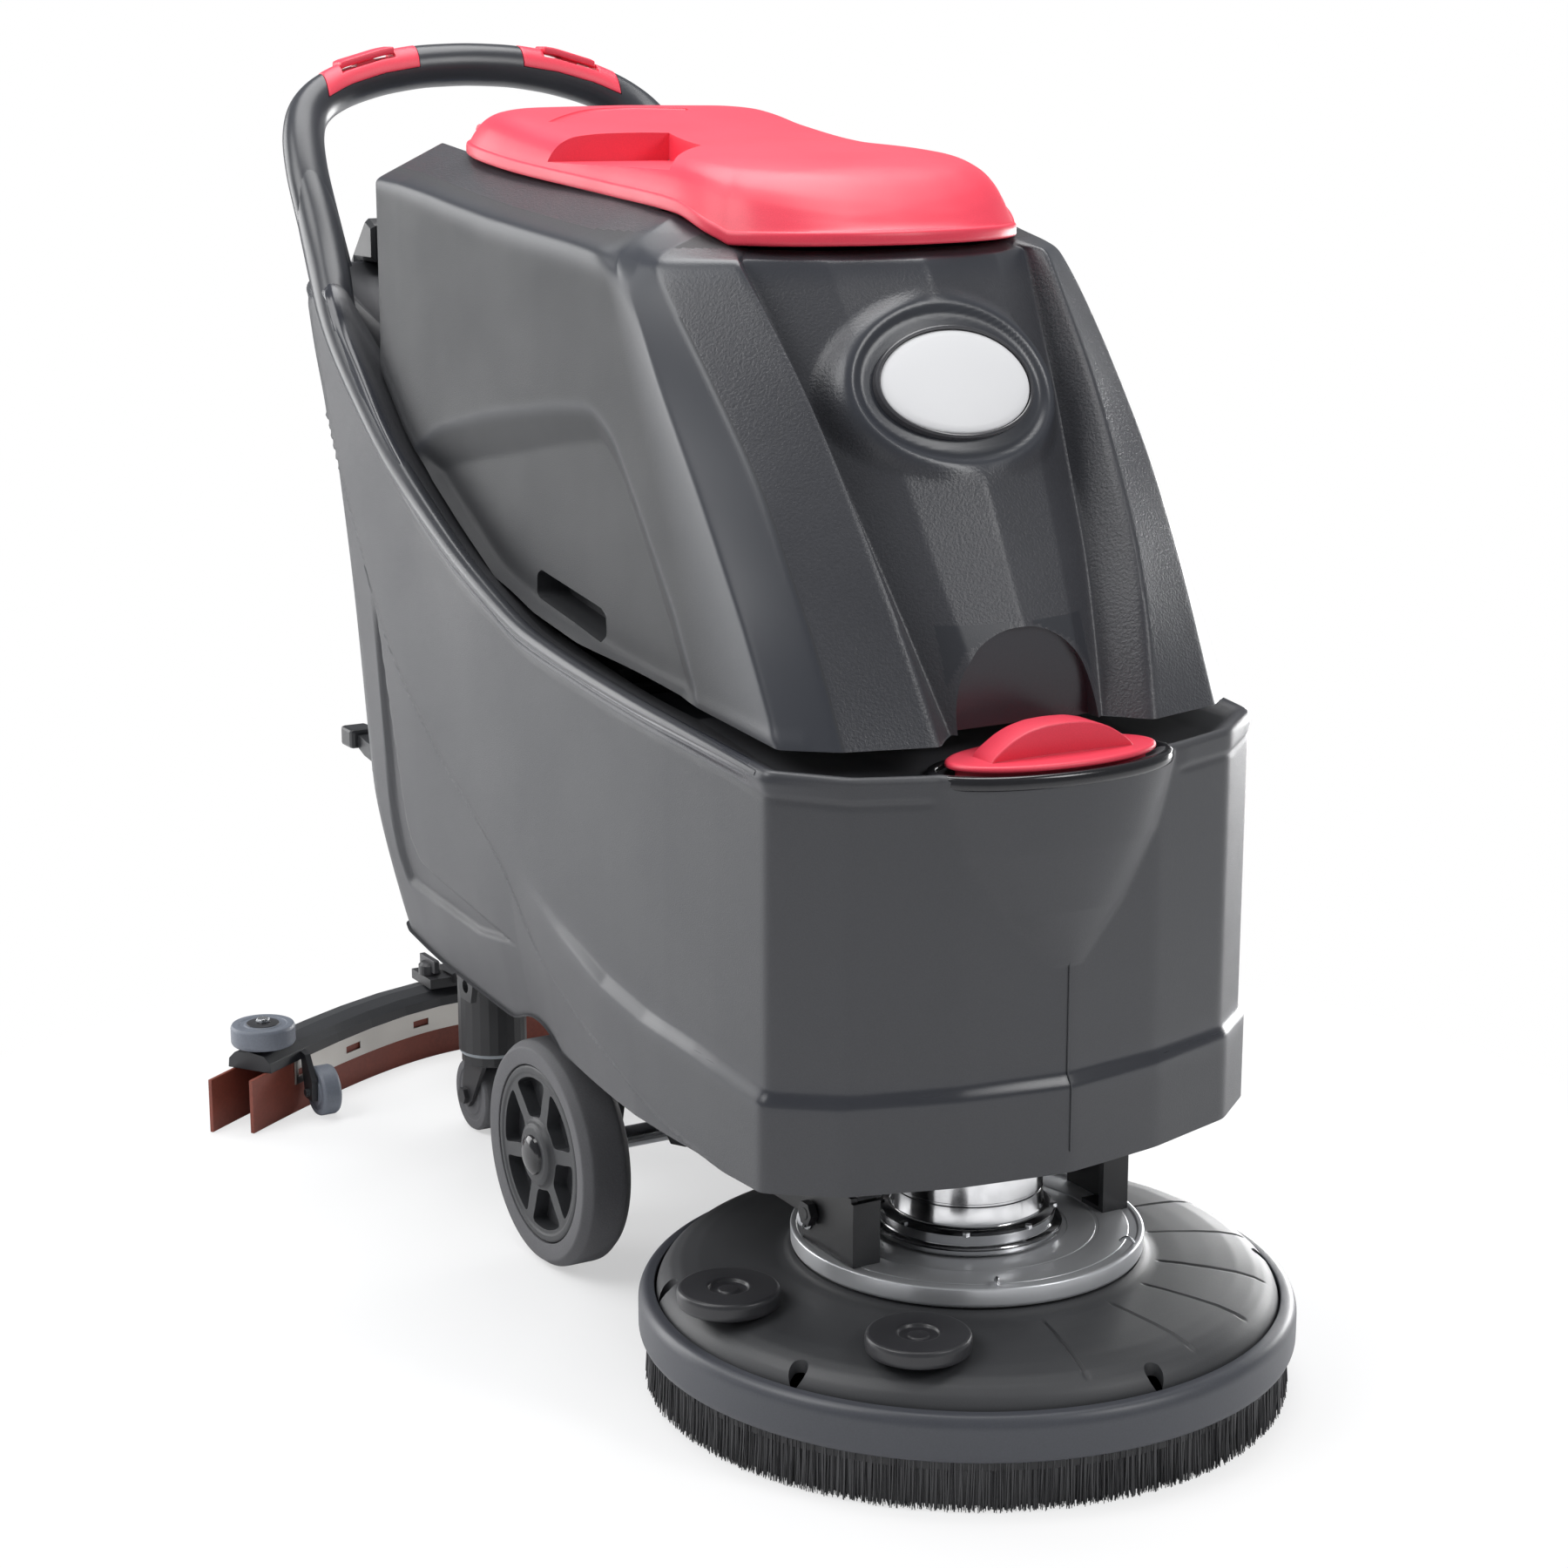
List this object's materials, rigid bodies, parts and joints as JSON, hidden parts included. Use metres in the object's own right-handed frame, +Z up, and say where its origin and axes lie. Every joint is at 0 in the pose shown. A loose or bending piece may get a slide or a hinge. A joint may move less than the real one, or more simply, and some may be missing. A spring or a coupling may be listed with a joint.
{
  "type": "walk-behind floor scrubber",
  "caption": "Battery floor scrubber with a round brush deck, tipping recovery tank, red lid and cap, bar handle, drive wheels, casters and a curved rear squeegee.",
  "frame": {"origin": "on the floor under the middle of the whole machine", "axes": "+Y towards the squeegee and operator, -Y towards the brush deck, +Z up, +X towards the machine's left side"},
  "size_m": [0.6926, 1.296, 1.0661],
  "materials": {
    "aluminium": "satin turned",
    "battery_case": "moulded case",
    "black_plastic": "satin moulded",
    "blade_rubber": "smooth gum rubber",
    "blue_plastic": "moulded",
    "bristle": "nylon bristle",
    "dark_steel": "black powder coat",
    "green_plastic": "moulded",
    "red_plastic": "satin moulded",
    "ring_grey": "satin",
    "rubber_grey": "matt",
    "screen": "dark display window",
    "steel": "bright plated",
    "tank_dark": "matt moulded",
    "tank_plastic": "fine-grained rotomoulded",
    "tyre_rubber": "matt",
    "white_plate": "smooth"
  },
  "bodies": {
    "chassis": {"solution_tank": "tank_plastic", "push_handle": "tank_plastic", "grip_cover_right": "red_plastic", "grip_cover_left": "red_plastic", "control_panel": "black_plastic", "status_display": "screen", "battery_front": "battery_case", "battery_rear": "battery_case", "vacuum_motor": "black_plastic", "chassis_frame": "dark_steel", "wheel_axle": "steel", "tank_hinge_rod": "steel"},
    "recovery": {"recovery_tank": "tank_plastic", "badge_bezel": "black_plastic", "badge_plate": "white_plate", "float_cage": "tank_dark", "lid_hinge_rod": "steel"},
    "lid": {"recovery_lid": "red_plastic"},
    "float": {"float_ball": "white_plate"},
    "cap": {"fill_cap": "red_plastic"},
    "paddle_right": {"drive_paddle_right": "red_plastic"},
    "paddle_left": {"drive_paddle_left": "red_plastic"},
    "brush_button": {"button_brush": "green_plastic"},
    "vacuum_button": {"button_vacuum": "red_plastic"},
    "water_button": {"button_water": "blue_plastic"},
    "flow_knob": {"water_knob": "blue_plastic"},
    "key": {"key_switch": "steel"},
    "drive_wheel_right": {"wheel_rim_right": "tank_dark", "tyre_right": "tyre_rubber"},
    "drive_wheel_left": {"wheel_rim_left": "tank_dark", "tyre_left": "tyre_rubber"},
    "fork_right": {"caster_fork_right": "dark_steel"},
    "fork_left": {"caster_fork_left": "dark_steel"},
    "rear_wheel_right": {"caster_wheel_right": "tyre_rubber"},
    "rear_wheel_left": {"caster_wheel_left": "tyre_rubber"},
    "lift": {"lift_arms": "dark_steel"},
    "deck": {"deck_cover": "black_plastic", "bumper_ring": "ring_grey", "bristle_skirt": "bristle", "motor_plate": "aluminium", "brush_motor": "steel", "deck_bracket_right": "dark_steel", "deck_bracket_left": "dark_steel"},
    "pedal": {"deck_pedal": "black_plastic"},
    "brush": {"brush_disc": "tank_dark", "brush_bristles": "bristle"},
    "cover_knob_side": {"deck_knob_side": "black_plastic"},
    "cover_knob_front": {"deck_knob_front": "black_plastic"},
    "squeegee": {"squeegee_arm": "dark_steel", "squeegee_channel": "black_plastic", "blade_strap": "steel", "blade_front": "blade_rubber", "blade_rear": "blade_rubber"},
    "lever": {"squeegee_lever": "black_plastic"},
    "roller_right": {"bumper_roller_right": "rubber_grey"},
    "roller_left": {"bumper_roller_left": "rubber_grey"},
    "small_wheel_right": {"support_wheel_right": "rubber_grey"},
    "small_wheel_left": {"support_wheel_left": "rubber_grey"},
    "clamp_right": {"wing_knob_right": "red_plastic"},
    "clamp_left": {"wing_knob_left": "red_plastic"}
  },
  "joints": [
    {"name": "tank_tip", "type": "hinge", "parent": "chassis", "child": "recovery", "pos_m": [0, 0.44, 0.868], "axis": [-1, 0, 0], "range_deg": [0, 50]},
    {"name": "lid_open", "type": "hinge", "parent": "recovery", "child": "lid", "pos_m": [0, 0.275, 0.99], "axis": [-1, 0, 0], "range_deg": [0, 95]},
    {"name": "float_rise", "type": "slide", "parent": "recovery", "child": "float", "axis": [0, 0, 1], "range_m": [0, 0.045]},
    {"name": "cap_lift", "type": "slide", "parent": "chassis", "child": "cap", "axis": [0, 0, 1], "range_m": [0, 0.008]},
    {"name": "paddle_press_right", "type": "slide", "parent": "chassis", "child": "paddle_right", "axis": [0, 0, -1], "range_m": [0, 0.0025], "stiffness_N_per_m": 900, "springref_m": -0.002},
    {"name": "paddle_press_left", "type": "slide", "parent": "chassis", "child": "paddle_left", "axis": [0, 0, -1], "range_m": [0, 0.0025], "stiffness_N_per_m": 900, "springref_m": -0.002},
    {"name": "press_brush", "type": "slide", "parent": "chassis", "child": "brush_button", "axis": [0, -0.7328, -0.6805], "range_m": [0, 0.0025], "stiffness_N_per_m": 500, "springref_m": -0.001},
    {"name": "press_vacuum", "type": "slide", "parent": "chassis", "child": "vacuum_button", "axis": [0, -0.7328, -0.6805], "range_m": [0, 0.0025], "stiffness_N_per_m": 500, "springref_m": -0.001},
    {"name": "press_water", "type": "slide", "parent": "chassis", "child": "water_button", "axis": [0, -0.7328, -0.6805], "range_m": [0, 0.0025], "stiffness_N_per_m": 500, "springref_m": -0.001},
    {"name": "flow_turn", "type": "hinge", "parent": "chassis", "child": "flow_knob", "pos_m": [0.055, 0.51466, 0.86983], "axis": [0, 0.7328, 0.6805], "range_deg": [0, 270]},
    {"name": "key_turn", "type": "hinge", "parent": "chassis", "child": "key", "pos_m": [0.105, 0.51466, 0.86983], "axis": [0, 0.7328, 0.6805], "range_deg": [0, 90]},
    {"name": "wheel_spin_right", "type": "hinge", "parent": "chassis", "child": "drive_wheel_right", "pos_m": [-0.185, 0.007, 0.103], "axis": [1, 0, 0], "continuous": true},
    {"name": "wheel_spin_left", "type": "hinge", "parent": "chassis", "child": "drive_wheel_left", "pos_m": [0.185, 0.007, 0.103], "axis": [1, 0, 0], "continuous": true},
    {"name": "caster_swivel_right", "type": "hinge", "parent": "chassis", "child": "fork_right", "pos_m": [-0.1, 0.334, 0.09], "axis": [0, 0, 1], "continuous": true},
    {"name": "caster_swivel_left", "type": "hinge", "parent": "chassis", "child": "fork_left", "pos_m": [0.1, 0.334, 0.09], "axis": [0, 0, 1], "continuous": true},
    {"name": "caster_roll_right", "type": "hinge", "parent": "fork_right", "child": "rear_wheel_right", "pos_m": [-0.1, 0.36, 0.0375], "axis": [1, 0, 0], "continuous": true},
    {"name": "caster_roll_left", "type": "hinge", "parent": "fork_left", "child": "rear_wheel_left", "pos_m": [0.1, 0.36, 0.0375], "axis": [1, 0, 0], "continuous": true},
    {"name": "deck_lift", "type": "hinge", "parent": "chassis", "child": "lift", "pos_m": [0, -0.118, 0.156], "axis": [-1, 0, 0], "range_deg": [0, 9.5]},
    {"name": "deck_level", "type": "hinge", "parent": "lift", "child": "deck", "pos_m": [0, -0.356, 0.156], "axis": [-1, 0, 0], "range_deg": [-9.5, 0]},
    {"name": "pedal_press", "type": "hinge", "parent": "chassis", "child": "pedal", "pos_m": [0.158, 0.292, 0.174], "axis": [-1, 0, 0], "range_deg": [0, 24]},
    {"name": "brush_spin", "type": "hinge", "parent": "deck", "child": "brush", "pos_m": [0, -0.378, 0.05], "axis": [0, 0, 1], "continuous": true},
    {"name": "cover_knob_turn_side", "type": "hinge", "parent": "deck", "child": "cover_knob_side", "pos_m": [-0.223, -0.378, 0.104], "axis": [0, 0, 1], "range_deg": [0, 90]},
    {"name": "cover_knob_turn_front", "type": "hinge", "parent": "deck", "child": "cover_knob_front", "pos_m": [-0.141, -0.528, 0.104], "axis": [0, 0, 1], "range_deg": [0, 90]},
    {"name": "squeegee_lift", "type": "hinge", "parent": "chassis", "child": "squeegee", "pos_m": [0, 0.357, 0.15], "axis": [1, 0, 0], "range_deg": [0, 25]},
    {"name": "lever_swing", "type": "hinge", "parent": "chassis", "child": "lever", "pos_m": [-0.165, 0.41, 0.372], "axis": [1, 0, 0], "range_deg": [-50, 0]},
    {"name": "roller_spin_right", "type": "hinge", "parent": "squeegee", "child": "roller_right", "pos_m": [-0.279, 0.50308, 0.078], "axis": [0, 0, 1], "continuous": true},
    {"name": "roller_spin_left", "type": "hinge", "parent": "squeegee", "child": "roller_left", "pos_m": [0.279, 0.50308, 0.078], "axis": [0, 0, 1], "continuous": true},
    {"name": "support_roll_right", "type": "hinge", "parent": "squeegee", "child": "small_wheel_right", "pos_m": [-0.225, 0.478, 0.026], "axis": [1, 0, 0], "continuous": true},
    {"name": "support_roll_left", "type": "hinge", "parent": "squeegee", "child": "small_wheel_left", "pos_m": [0.225, 0.478, 0.026], "axis": [1, 0, 0], "continuous": true},
    {"name": "clamp_turn_right", "type": "hinge", "parent": "squeegee", "child": "clamp_right", "pos_m": [-0.045, 0.618, 0.086], "axis": [0, 0, 1], "range_deg": [0, 180]},
    {"name": "clamp_turn_left", "type": "hinge", "parent": "squeegee", "child": "clamp_left", "pos_m": [0.045, 0.618, 0.086], "axis": [0, 0, 1], "range_deg": [0, 180]}
  ],
  "couplings": [
    {"joint": "deck_level", "follows": "deck_lift", "ratio": -1},
    {"joint": "pedal_press", "follows": "deck_lift", "ratio": 2.5},
    {"joint": "lever_swing", "follows": "squeegee_lift", "ratio": -2}
  ]
}
